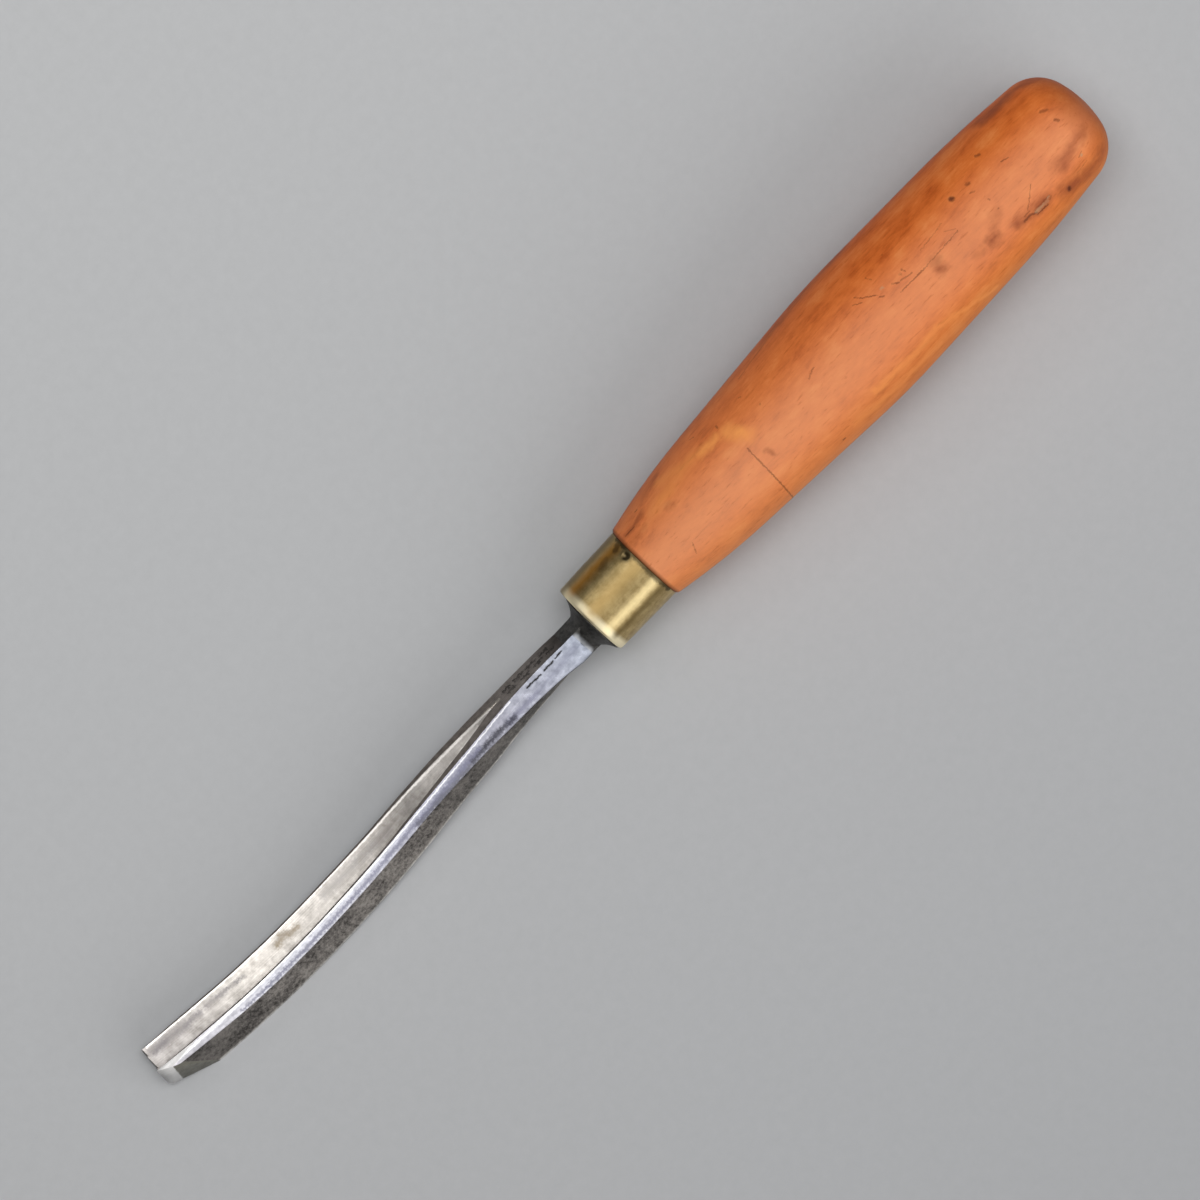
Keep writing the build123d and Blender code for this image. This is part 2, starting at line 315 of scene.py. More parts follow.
def grindEdge(mesh):
    # The end square to the bent blade, and on each wing the bevel, the honed facet and the thin top facet
    b = blade
    before, tip = b["stations"][-3], b["stations"][-2]
    tipHeight = tip[1] * b["rise"]
    slope = (tipHeight - before[1] * b["rise"]) / ((tip[0] - before[0]) * (b["reach"] - b["neck"]))
    half = b["vSize"][0] / 2
    fullDepth = (half - b["wingEdge"]) / math.tan(math.radians(b["channelAngle"]))
    ahead = fullDepth * slope
    keelDown = b["shank"][1] + (b["vSize"][1] - b["shank"][1]) * before[4]
    inside = (-b["reach"] / 2, 0, 0)

    def onBlade(back, across, down):
        # A point at a distance back from the wing tips, and down from the open side there
        return (back - b["reach"], across, tipHeight - slope * back - down)

    floorTip = onBlade(-ahead, 0, fullDepth)
    keelEnd = onBlade(b["honeKeel"] - ahead, 0, fullDepth + b["honeUnder"])
    heel = onBlade(b["heel"], 0, keelDown)
    wingTips = [onBlade(0, wing * (half - b["wingEdge"]), 0) for wing in (1, -1)]
    trimFacet(mesh, (wingTips[0], wingTips[1], floorTip), inside, zone["honed"])
    for wing, wingTip in zip((1, -1), wingTips):
        shoulderEnd = onBlade(b["honeShoulder"], wing * half, b["honeDown"])
        trimFacet(mesh, (shoulderEnd, heel, keelEnd), inside, zone["bevel"])
        trimFacet(mesh, (wingTip, floorTip, shoulderEnd), inside, zone["honed"])
        trimFacet(mesh, (wingTip, shoulderEnd, onBlade(b["facetEnd"], wing * half, 0)), inside, zone["honed"])


def makeBlade(finishes):
    # Each ring is unrolled in mm from the corner of the keel. Its faces take the zones between the corners:
    # the channel only as far as it runs, the sides also on the neck, and the bolster's finish on the rest.
    b = blade
    rings = bladeRings()
    perCorner = b["edgeSteps"] + b["bendSteps"]
    keel = 4 * perCorner
    around = np.linalg.norm(np.diff(rings, axis=1, append=rings[:, :1]), axis=-1).cumsum(1)
    around = np.concatenate([np.zeros((len(rings), 1)), around], 1)
    length = -rings[..., 0].mean(1, keepdims=True)
    uv = np.stack([np.broadcast_to(length, around.shape), around - around[:, keel:keel + 1]], -1)
    order = [zone[name] for name in ("channel", "top", "side", "slope", "slope", "side", "top", "channel")]
    zones = np.tile(np.roll(np.repeat(order, perCorner), b["bendSteps"] // 2), (len(rings) - 1, 1))
    whole = zones[0].copy()
    along = -rings[:-1, 0, 0]
    zones[(along < b["neck"]) & (np.arange(len(along)) >= b["rings"])] = zone["bolster"]
    neck = (along < b["neck"] + 0.1) & (along > b["bolster"]["length"] - 0.3)
    zones[neck] = np.where(whole == zone["side"], zone["side"], zone["bolster"])
    unground = (along < b["runOut"]) & (along > b["neck"])
    zones[unground[:, None] & (zones == zone["channel"])] = zone["top"]
    mesh = skin("vBlade", rings, uv, 24, zones)
    grindEdge(mesh)
    moveInto(mesh, tool["roll"])
    print("blade", len(mesh.polygons), "faces")
    return finishPiece(mesh, finishes, "blade")


# Brass ferrule, cut from tube. Sizes in mm
ferrule = {
    "length": 15.1, "front": 8.1, "back": 8.3,    # radii of its ends
    "wall": 1.1, "worn": 0.45,    # the front corner is rounded by wear
    "punch": {"radius": 0.75, "depth": 0.35, "fromBack": 1.3, "turn": 24.5},    # degrees from the top
    "unevenness": 0.02, "uvRadius": 8.2, "steps": 240,
}


def makeFerrule(finishes):
    # A ring-shaped profile turned round the tool's line: bore, back end, outside and a worn front corner.
    # The punch mark is a round hollow whose depth falls with the square of the distance from its middle.
    f = ferrule
    t = np.linspace(0, math.pi / 2, 7)
    cornerX = f["worn"] * (1 - np.cos(t)) * 1.2
    cornerR = f["front"] - f["worn"] * (1 - np.sin(t))
    outX = np.arange(0.8, f["length"] - 0.1, 0.2)
    outR = np.interp(outX, [0, f["length"]], [f["front"], f["back"]])
    x = np.concatenate([[0.0], cornerX, outX, [f["length"] - 0.1, f["length"], f["length"], f["length"] / 2]])
    r = np.concatenate([[f["front"] - f["wall"]], cornerR, outR, [
        f["back"], f["back"] - 0.1, f["back"] - f["wall"], (f["front"] + f["back"]) / 2 - f["wall"]]])
    angle = np.linspace(-math.pi, math.pi, f["steps"] + 1)
    punch = f["punch"]
    away = np.hypot(x[:, None] - (f["length"] - punch["fromBack"]),
                    (angle[None, :] - math.radians(punch["turn"])) * f["back"])
    hollow = punch["depth"] * np.clip(1 - (away / punch["radius"])**2, 0, 1)
    outer = (r > f["front"] - 0.2)[:, None]
    uneven = f["unevenness"] * (np.sin(3 * angle + 1.0)[None, :] * np.sin(x * 0.7)[:, None] - 1)
    radius = r[:, None] + outer * (uneven - hollow)
    x = np.broadcast_to(x[:, None], radius.shape)
    full = np.stack([x, radius * np.sin(angle), radius * np.cos(angle)], -1)
    uv = np.stack([x, np.broadcast_to(angle * f["uvRadius"], radius.shape)], -1)
    mesh = skin("brassFerrule", full[:, :-1], np.concatenate([uv, uv[:1]]), 40, ringWrap=True)
    moveInto(mesh, 0)
    print("ferrule", len(mesh.polygons), "faces")
    return finishPiece(mesh, finishes, "ferrule")


# Turned boxwood handle. Sizes in mm, the handle's place counted from the seat of the bolster
handle = {
    "front": 15.1, "length": 121.19, "joint": 8.7, "lip": 0.4, "barrel": 13.9, "butt": 11.83, "dome": 8.1,
    "buttEnd": 22.0,    # radius of the dome
    "rubbed": 0.018,    # lost all round, so that it stays inside the CAD
    "spigot": (6.98, 7.18),    # radius at its front and back
    "hole": {"depth": 57.0, "front": 3.97, "end": 1.99, "setOver": (-0.7564, -0.4877)},
    "uvRadius": 12.5, "steps": 256,
    # share of the length; growth of the radius from joint to barrel; share of the length each curve takes
    "corners": [(0.10, 0.435, 0.0824), (0.48, 1.020, 0.0630), (0.81, 0.875, 0.0816)],
}


def handleProfile():
    # Straight runs from joint to butt, each pair joined by a parabola that takes the same length from both,
    # then an arc that leaves the last run as its tangent and an arc about the axis, tangent to it
    h = handle
    points = [np.array([h["front"] + h["lip"], h["joint"]])]
    for along, growth, _ in h["corners"]:
        radius = h["joint"] + growth * (h["barrel"] - h["joint"])
        points.append(np.array([h["front"] + along * h["length"], radius]))
    end = h["front"] + h["length"]
    points.append(np.array([end - h["dome"], h["butt"]]))
    t = np.linspace(0, 1, 30)[:, None]
    line = [points[0][None]]
    for i, (_, _, reach) in enumerate(h["corners"]):
        a, c, b = points[i:i + 3]
        take = reach * h["length"]
        start = c + (a - c) / np.linalg.norm(a - c) * take
        leave = c + (b - c) / np.linalg.norm(b - c) * take
        line.append((1 - t)**2 * start + 2 * t * (1 - t) * c + t**2 * leave)
    line = np.concatenate(line + [points[-1][None]])
    x = np.arange(line[0, 0], line[-1, 0], 0.45)
    side = np.stack([x, np.interp(x, line[:, 0], line[:, 1])], -1)

    along = points[-1] - points[-2]
    along /= np.linalg.norm(along)
    outward = np.array([-along[1], along[0]])
    centre = np.array([end - h["buttEnd"], 0.0])
    gap = points[-1] - centre
    bend = (h["buttEnd"]**2 - gap @ gap) / (2 * (h["buttEnd"] - gap @ outward))
    bendCentre = points[-1] - outward * bend
    meet = (bendCentre - centre) / np.linalg.norm(bendCentre - centre)
    turn = np.linspace(math.atan2(outward[1], outward[0]), math.atan2(meet[1], meet[0]), 26)
    corner = bendCentre + bend * np.stack([np.cos(turn), np.sin(turn)], -1)
    turn = np.linspace(math.atan2(meet[1], meet[0]), 0, 24)[1:-1]
    dome = centre + h["buttEnd"] * np.stack([np.cos(turn), np.sin(turn)], -1)
    return np.concatenate([side, corner, dome])


def makeHandle(finishes):
    # The profile turned round the tool's line, from the bottom of the tang hole over the spigot to the butt
    h = handle
    hole = h["hole"]
    inner = np.array([[hole["depth"], hole["end"]], [0.2, hole["front"]], [0.0, hole["front"]],
                      [0.0, h["spigot"][0]], [h["front"], h["spigot"][1]],
                      [h["front"], h["joint"] - h["lip"]]])
    profile = np.concatenate([inner, handleProfile()])
    angle = np.linspace(-math.pi, math.pi, h["steps"] + 1)
    radius = profile[:, 1, None] - h["rubbed"]
    offset = np.zeros((len(profile), 1, 2))
    offset[:3, 0] = hole["setOver"]
    x = np.broadcast_to(profile[:, :1], (len(profile), len(angle)))
    full = np.stack([x, radius * np.sin(angle) + offset[..., 0], radius * np.cos(angle) + offset[..., 1]], -1)
    uv = np.stack([x, np.broadcast_to(angle * h["uvRadius"], x.shape)], -1)
    mesh = skin("boxwoodHandle", full[:, :-1], uv, 40)
    moveInto(mesh, 0)
    print("handle", len(mesh.polygons), "faces")
    return finishPiece(mesh, finishes, "handle")


# Finishes. A place on the blade is in mm on the bench, one on the ferrule or the handle in mm along the tool
# from the seat and round it from the top line
def laidOver(tree, colour, layers):
    # Each layer is a factor and a colour, and hides what is under it by its factor
    for factor, code in layers:
        colour = addNode(tree, "Mix", {"Factor": factor, 6: colour, 7: code}, data_type="RGBA").outputs[2]
    return colour


def throughPlaces(places, end):
    # Marks one after another along a line: each place has its half width and strength up to the next place
    following = [place[:2] for place in places[1:]] + [end]
    return [(*place[:2], *after, *place[2:]) for place, after in zip(places, following)]


def markMask(tree, where, marks, core):
    # The strongest of many small marks. Each is a line between two places in mm, with its half width and
    # strength: full over the core of its width, and fading smoothly to nothing at its edge. A Clamp node
    # holds the nearest place between the ends, as a Math node's own clamp runs the renderer out of room.
    strongest = 0.0
    for startX, startY, endX, endY, half, strength in marks:
        run = Vector((endX - startX, endY - startY, 0))
        away = addNode(tree, "VectorMath", {0: where, 1: (startX, startY, 0)}, operation="SUBTRACT")
        if run.length > 0.05:    # a shorter mark is round
            share = addNode(tree, "VectorMath", {0: away, 1: run / run.length_squared},
                            operation="DOT_PRODUCT")
            within = addNode(tree, "Clamp", {"Value": share.outputs["Value"]})
            nearest = addNode(tree, "VectorMath", {0: run, "Scale": within}, operation="SCALE")
            away = addNode(tree, "VectorMath", {0: away, 1: nearest}, operation="SUBTRACT")
        length = addNode(tree, "VectorMath", {0: away}, operation="LENGTH")
        fade = addNode(tree, "MapRange", {
            "Value": length.outputs["Value"], "From Min": half, "From Max": half * core, "To Max": strength},
            interpolation_type="SMOOTHSTEP")
        strongest = addNode(tree, "Math", {0: strongest, 1: fade}, operation="MAXIMUM")
    return strongest


def shaken(tree, where, size, amount):
    # The same place, moved a share of "amount" mm by noise of "size" mm, so that a mark's edge is ragged
    noise = addNode(tree, "TexNoise", {"Vector": where, "Scale": 1 / size, "Detail": 3.0})
    centred = addNode(tree, "VectorMath", {0: noise.outputs["Color"], 1: (0.5, 0.5, 0.5)},
                      operation="SUBTRACT")
    scaled = addNode(tree, "VectorMath", {0: centred, 1: (amount, amount, 0)}, operation="MULTIPLY")
    return addNode(tree, "VectorMath", {0: where, 1: scaled}, operation="ADD")


def fromAbove(tree):
    # The place on the bench in mm, for marks on faces that look up
    place = addNode(tree, "TexCoord")
    return addNode(tree, "VectorMath", {0: place.outputs["Object"], 1: (1000, 1000, 0)},
                   operation="MULTIPLY")


steel = {
    # mm. Real grinding scratches are under 0.1 wide, and are drawn wider so that they show
    "scratch": (10.0, 0.2222), "patch": 1.6129, "cloud": 6.6667,
    "sooty": ((-0.1, -0.118), (-0.06, -0.046)),    # m on the bench, where the scale turns darker
}


def groundSteel(name, finish):
    # Carbon steel, ground on a wheel and dulled by age: silvery, finely scratched along the blade, with grey
    # patches, old marks and painted highlights. The "fade" multiplies the colour along the blade, and on the
    # channel and the sides paints light and shade.
    material, tree = newFinish(name)
    uv = addNode(tree, "UVMap", uv_map="surfaceMm")
    scratch = steel["scratch"]
    long = addNode(tree, "Mapping", {"Vector": uv, "Scale": (1 / scratch[0], 1 / scratch[1], 1)})
    brushed = addNode(tree, "TexNoise", {"Vector": long, "Scale": 1.0, "Detail": 4.0})
    place = addNode(tree, "TexCoord")
    patches = addNode(tree, "TexNoise", {
        "Vector": place.outputs["Object"], "Scale": 1000 / steel["patch"], "Detail": 5.0, "Roughness": 0.65})
    both = addNode(tree, "Mix", {"Factor": finish["patchShare"], 2: brushed, 3: patches})
    tone = addNode(tree, "MapRange", {
        "Value": both, "From Min": 0.5 - finish["mottle"], "From Max": 0.5 + finish["mottle"]})
    colour = laidOver(tree, finish["dark"], [(tone, finish["light"])])
    where = fromAbove(tree)
    if finish.get("fade"):
        places, codes = zip(*finish["fade"])
        along = addNode(tree, "SeparateXYZ", {"Vector": where}).outputs[0]
        share = addNode(tree, "MapRange", {"Value": along, "From Min": places[0],
                                                     "From Max": places[-1]})
        ramp = addNode(tree, "ValToRGB", {"Fac": share}, stops=[
            ((x - places[0]) / (places[-1] - places[0]), code) for x, code in zip(places, codes)])
        colour = addNode(tree, "Mix", {"Factor": 1.0, 6: colour, 7: ramp}, data_type="RGBA",
                         blend_type="MULTIPLY").outputs[2]
    ragged = shaken(tree, where, 0.6, 0.5)
    torn = shaken(tree, where, 0.45, 1.4)
    broken = addNode(tree, "MapRange", {"Value": patches, "From Min": 0.36, "From Max": 0.56,
                                                  "To Min": 0.25})
    for stain, wholeness, marks in finish.get("marks", []):
        mask = markMask(tree, ragged if wholeness == 1 else torn, marks, finish.get("core", 0.0))
        if wholeness < 1:
            some = addNode(tree, "Mix", {"Factor": wholeness, 2: broken, 3: 1.0})
            mask = addNode(tree, "Math", {0: mask, 1: some}, operation="MULTIPLY")
        colour = laidOver(tree, colour, [(mask, stain)])
    rough = addNode(tree, "MapRange", {
        "Value": patches, "From Min": 0.3, "From Max": 0.7, "To Min": finish["roughness"] + 0.07,
        "To Max": finish["roughness"] - 0.05})
    bump = addNode(tree, "Bump", {"Height": both, "Strength": 0.12, "Distance": 0.0001})
    shaded(tree, {"Base Color": colour, "Metallic": finish["metal"], "Roughness": rough, "Normal": bump})
    return material


def scaleSteel(name, finish):
    # Steel as forged, under black scale that is rubbed and pitted: mottled brown-grey with pale specks,
    # darker towards both ends of the blade. The "rim" is bare metal where the keel is worn.
    material, tree = newFinish(name)
    place = addNode(tree, "TexCoord").outputs["Object"]
    flatter = addNode(tree, "Mapping", {"Vector": place, "Scale": (1, 1, 0.6)})
    mottle = addNode(tree, "TexNoise", {"Vector": flatter, "Scale": 1000 / finish["grain"],
                                                  "Detail": 6.0, "Roughness": 0.75})
    cloud = addNode(tree, "TexNoise", {"Vector": place, "Scale": 1000 / steel["cloud"],
                                                 "Detail": 2.0})
    both = addNode(tree, "Mix", {"Factor": 0.35, 2: mottle, 3: cloud})
    tone = addNode(tree, "MapRange", {"Value": both, "From Min": 0.4, "From Max": 0.6})
    along = addNode(tree, "SeparateXYZ", {"Vector": place}).outputs[0]
    ends = [addNode(tree, "MapRange", {"Value": along, "From Min": start, "From Max": full,
                                                 "To Max": 0.45}) for start, full in steel["sooty"]]
    darker = addNode(tree, "Math", {0: ends[0], 1: ends[1]}, operation="MAXIMUM")
    colour = laidOver(tree, finish["dark"], [(tone, finish["light"]), (darker, "#1d1a18")])
    metal = finish["metal"]
    if finish.get("rim"):
        uv = addNode(tree, "UVMap", uv_map="surfaceMm")
        across = addNode(tree, "SeparateXYZ", {"Vector": uv}).outputs[1]
        fromKeel = addNode(tree, "Math", {0: across}, operation="ABSOLUTE")
        rub = addNode(tree, "MapRange", {"Value": fromKeel, "From Min": 1.0, "From Max": 0.35,
                                                   "To Max": 0.9})
        worn = addNode(tree, "MapRange", {"Value": tone, "To Min": 0.35})
        bare = addNode(tree, "Math", {0: rub, 1: worn}, operation="MULTIPLY")
        colour = laidOver(tree, colour, [(bare, finish["rim"])])
        metal = addNode(tree, "MapRange", {"Value": bare, "To Min": finish["metal"], "To Max": 0.1})
    for stain, marks in finish.get("marks", []):
        mask = markMask(tree, shaken(tree, fromAbove(tree), 0.6, 0.3), marks, 0.0)
        colour = laidOver(tree, colour, [(mask, stain)])
    bump = addNode(tree, "Bump", {"Height": mottle, "Strength": 0.35, "Distance": 0.00015})
    shaded(tree, {"Base Color": colour, "Metallic": metal, "Roughness": 0.5, "Normal": bump})
    return material


punchRound = math.radians(ferrule["punch"]["turn"]) * ferrule["uvRadius"]
brass = {
    "dark": "#a08858", "light": "#c8b07c", "rim": "#fff0c8", "rimFade": (2.3, 1.3),
    "grain": 1.4286, "rubs": (4.0, 0.3846), "rubsTurn": 0.12,    # mm, and radians off the tool's line
    "metal": (0.85, 0.65), "roughness": 0.37,    # the tarnish makes it less of a metal, the most at the rim
    # Each mark: a place, another place, half width, strength
    "soft": [
        # painted shade: darker olive bands between the bands of reflected light
        ("#7c663c", [(1.8, 0.6, 14.0, 0.4, 3.3, 0.85), (2.0, -6.3, 14.0, -6.1, 1.5, 0.7),
                     (1.0, 10.4, 15.0, 10.4, 3.6, 0.9)]),
        ("#b47a24", [(2.4, 7.0, 13.6, 6.6, 2.6, 0.85)]),
        # painted highlight: a pale band where the side lamp is reflected
        ("#ecd8a4", [(-1.0, -4.0, 14.0, -3.9, 1.7, 0.55)])],
    "dirt": ("#3a2f1c", [
        # the first mark, across the back end, is dirt and painted shadow in the joint; the others are dirt
        (14.9, -8, 14.9, 8, 0.75, 0.8), (14.2, punchRound, 13.9, punchRound, 1.7, 0.85),
        (13.2, punchRound + 2.6, 14.6, punchRound + 3.4, 1.0, 0.6), (9.0, 5.6, 10.5, 6.2, 1.2, 0.35),
        (14.6, -4.5, 14.8, -1.0, 0.8, 0.6)]),
}


def tarnishedBrass():
    # Brass tube under a thin brown tarnish, which dulls it: painted shade in olive bands, a painted highlight
    # band and a brown band along it, brighter where the front rim is worn, dirt and painted shadow at the
    # joint, and dirt round the punch mark
    material, tree = newFinish("tarnishedBrass")
    uv = addNode(tree, "UVMap", uv_map="surfaceMm")
    place = addNode(tree, "TexCoord")
    fine = addNode(tree, "TexNoise", {"Vector": place.outputs["Object"], "Scale": 1000 / brass["grain"],
                                                "Detail": 5.0, "Roughness": 0.65})
    rubs = addNode(tree, "Mapping", {
        "Vector": uv, "Scale": (1 / brass["rubs"][0], 1 / brass["rubs"][1], 1),
        "Rotation": (0, 0, brass["rubsTurn"])})
    rubbed = addNode(tree, "TexNoise", {"Vector": rubs, "Scale": 1.0, "Detail": 3.0})
    both = addNode(tree, "Mix", {"Factor": 0.25, 2: fine, 3: rubbed})
    tone = addNode(tree, "MapRange", {"Value": both, "From Min": 0.36, "From Max": 0.64})
    along = addNode(tree, "SeparateXYZ", {"Vector": uv}).outputs[0]
    front = addNode(tree, "MapRange", {"Value": along, "From Min": brass["rimFade"][0],
                                                 "From Max": brass["rimFade"][1]})
    colour = laidOver(tree, brass["dark"], [(tone, brass["light"]), (front, brass["rim"])])
    streaks = shaken(tree, uv, 3.0, 0.8)
    for code, marks in brass["soft"]:
        colour = laidOver(tree, colour, [(markMask(tree, streaks, marks, 0.0), code)])
    code, marks = brass["dirt"]
    colour = laidOver(tree, colour, [(markMask(tree, shaken(tree, uv, 0.8, 1.0), marks, 0.35), code)])
    bump = addNode(tree, "Bump", {"Height": both, "Strength": 0.1, "Distance": 0.0001})
    metal = addNode(tree, "MapRange", {"Value": front, "To Min": brass["metal"][0],
                                                 "To Max": brass["metal"][1]})
    shaded(tree, {"Base Color": colour, "Metallic": metal, "Roughness": brass["roughness"], "Normal": bump})
    return material


# Marks on the handle, from the lowest layer up. Each: a place, another place, half width, strength
handleMarks = {
    "yellow": ("#ffa75a", [    # yellower wood where the grain turns, and a painted highlight
        (38.0, 7.4, 42.0, 7.0, 1.8, 0.8), (44.4, 6.2, 46.5, 2.4, 2.6, 0.8),
        # the mark from (24.0, 7.2) to (36.0, 8.4) is a painted highlight
        (28.4, 11.1, 32.8, 9.2, 2.4, 0.4), (24.0, 7.2, 36.0, 8.4, 2.4, 0.4),
        (69.0, -9.6, 88.0, -10.2, 1.3, 0.5), (88.0, -10.2, 99.0, -14.6, 1.2, 0.5),
        (62.0, -12.4, 84.0, -13.2, 1.2, 0.35)]),
    "stains": ("#93482c", [    # dull stains, grown into the wood
        (94.7, -1.0, 94.7, -2.1, 2.4, 0.95), (104.9, -5.8, 105.9, -5.8, 2.4, 1.0),
        (106.6, -4.7, 109.4, -2.5, 1.9, 0.45), (47.1, -2.3, 47.5, -3.5, 1.1, 0.5),
        (121.7, -10.6, 131.0, -13.2, 3.6, 0.75), (124.0, -5.6, 131.0, -5.0, 2.8, 0.7),
        (111.0, -7.0, 117.0, -8.2, 2.8, 0.75), (26.2, 5.0, 27.4, 4.4, 1.4, 0.5),
        (17.0, 8.8, 21.5, 9.4, 1.6, 0.6), (19.0, 11.5, 28.0, 13.6, 2.2, 0.25),
        (17.0, 6.0, 20.0, 6.2, 2.0, 0.4), (60.0, 15.5, 84.0, 17.5, 3.0, 0.45),
        (120.0, 14.0, 131.4, 14.8, 3.2, 0.8), (101.0, -5.0, 103.0, -5.6, 1.6, 0.3)]),
    "dirt": ("#6b3014", [    # small pricks, scratches and a drying crack, dark with dirt
        (21.1, 11.9, 21.7, 11.7, 0.26, 0.7), (23.5, -7.9, 24.5, -5.1, 0.2, 0.5),
        (52.4, 4.8, 52.5, 4.8, 0.3, 0.7), (58.3, -13.3, 58.7, -13.3, 0.32, 0.9),
        (38.0, 12.6, 39.0, 12.1, 0.22, 0.6), (50.4, 9.4, 50.8, 9.1, 0.2, 0.5),
        (62.3, 1.3, 64.5, 2.0, 0.2, 0.45), (88.7, 7.1, 88.8, 7.1, 0.3, 0.7),
        (89.3, 2.6, 89.5, 2.1, 0.34, 0.7), (109.4, 4.9, 109.8, 4.7, 0.55, 0.6),
        (108.7, 3.2, 109.4, 2.9, 0.3, 0.6), (110.2, 0.0, 110.3, 0.0, 0.26, 0.8),
        (110.2, -2.3, 110.3, -2.3, 0.26, 0.8), (117.0, 3.3, 118.5, 2.8, 0.2, 0.7),
        (129.7, 1.4, 130.0, 0.9, 0.5, 0.7), (114.8, -7.9, 118.6, -8.2, 0.3, 0.5),
        (112.6, -7.2, 113.9, -7.2, 0.3, 0.5), (113.8, -6.8, 117.7, -3.7, 0.16, 0.7),
        (118.2, -8.9, 118.9, -8.6, 0.3, 0.6), (125.3, -10.0, 128.4, -9.8, 0.2, 0.4),
        (127.8, -7.6, 128.9, -7.2, 0.24, 0.6), (88.4, 2.3, 88.6, 2.2, 0.4, 0.5),
        (83.4, 6.4, 84.0, 5.2, 0.22, 0.5), (78.0, 4.5, 79.6, 3.6, 0.2, 0.6),
        (79.3, 5.3, 80.2, 4.2, 0.2, 0.6), (80.2, 4.2, 82.7, 2.6, 0.2, 0.7),
        (82.7, 2.1, 83.4, 1.6, 0.24, 0.7), (86.1, 2.1, 87.2, 1.4, 0.24, 0.7),
        (87.6, 1.4, 90.2, 0.9, 0.2, 0.7), (86.1, 0.0, 92.5, -0.1, 0.17, 0.6),
        (92.5, -0.1, 101.9, 0.2, 0.14, 0.6), (94.4, 2.5, 100.8, 3.2, 0.15, 0.35),
        (100.0, 1.8, 101.9, 0.7, 0.15, 0.35), (69.0, 16.5, 88.0, 17.2, 0.3, 0.4),
        (53.0, 13.2, 66.0, 15.4, 0.3, 0.3)]),
    "dents": ("#66301a", [    # the scribed line across, then the deeper knocks
        (44.7, 0.8, 44.4, -6.1, 0.24, 0.5), (44.4, -6.1, 43.5, -19.6, 0.24, 0.6),
        (16.6, 9.3, 18.9, 8.8, 0.26, 0.7), (43.6, 9.0, 43.6, 8.5, 0.4, 0.5),
        (105.3, 5.1, 105.5, 4.9, 0.75, 0.9), (114.4, 7.7, 115.1, 7.3, 0.45, 0.6),
        (128.9, 4.7, 130.0, 4.2, 0.5, 0.5), (122.1, -11.4, 122.3, -10.8, 0.6, 1.0),
        (111.9, -7.9, 113.4, -7.9, 0.45, 0.7), (113.4, -7.9, 114.7, -8.6, 0.34, 0.7),
        (114.7, -9.1, 117.2, -9.4, 0.28, 0.7)]),
    "chips": ("#bda27c", [    # chips that show pale wood
        (114.8, -8.4, 117.6, -8.8, 0.6, 0.5), (117.6, -8.6, 118.4, -8.3, 0.4, 0.5),
        (128.3, -7.9, 128.4, -7.7, 0.45, 0.6), (84.0, 2.9, 84.4, 2.9, 0.4, 0.6)]),
}
boxwood = {
    # mm along, across and up. Boxwood's pores are finer than a tenth, and are drawn coarser so that they show
    "pores": (3.3333, 0.5263, 0.5263), "figure": (40.0, 4.7619, 4.7619), "cloud": (5.8824, 3.3333, 3.3333),
    "tones": [(0.36, "#c25c22"), (0.45, "#dc7231"), (0.53, "#e87e3a"), (0.64, "#f2924e")],
    # painted shade: multiplies the tones round the handle, darker on one side, over this many mm to each side
    # of the top line
    "roundReach": 20.0,
    "roundTones": [
        (0.0, "#faf4ea"), (0.25, "#fffcf8"), (0.5, "#fafafa"), (0.72, "#f8f0ea"), (1.0, "#ead2c2")],
    "sheenPlace": 3.0,    # mm from the top line to the middle of a painted sheen band
    # what each wash follows, where it starts and where it is full, strength, colour
    "washes": [
        # the first wash is a painted sheen band, a highlight along the top
        ("sheenBand", 11.0, 0.0, 0.5, "#e69c74"), ("round", -7.0, -16.0, 0.4, "#da8c48"),
        ("along", 85.0, 25.0, 0.22, "#f0aa7c"), ("pores", 0.4, 0.28, 0.36, "#b4521c"),
        # the second wash on this line is dirt and painted shadow in the joint
        ("along", 129.5, 135.0, 0.65, "#a5501f"), ("along", 16.0, 15.1, 0.8, "#4a1e0c")],
    "roughness": 0.5, "shine": 0.12,
}


